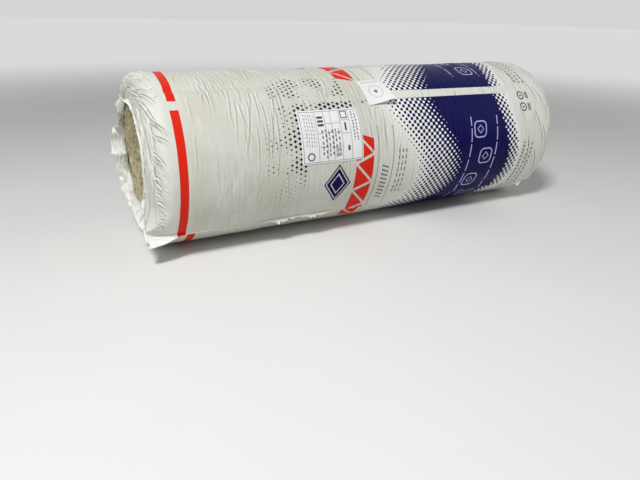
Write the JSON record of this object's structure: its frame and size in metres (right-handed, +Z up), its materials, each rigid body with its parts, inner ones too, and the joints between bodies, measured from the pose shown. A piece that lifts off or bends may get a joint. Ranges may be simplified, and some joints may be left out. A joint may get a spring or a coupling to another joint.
{
  "type": "insulation roll",
  "caption": "Wound roll of glass wool insulation in a thin printed film sleeve, lapped along its side, with an open gathered mouth at each end.",
  "frame": {"origin": "under the middle of the whole length, on the level the roll lies on", "axes": "+X along the roll to its far end, +Y away from the side with the label, +Z up"},
  "size_m": [1.274, 0.4158, 0.4149],
  "materials": {
    "wool": "fibrous",
    "film": "soft satin",
    "label": "matt paper"
  },
  "bodies": {
    "root": {"wool_roll": "wool", "film_wrap": "film", "data_label": "label", "small_tag": "label"}
  },
  "joints": []
}
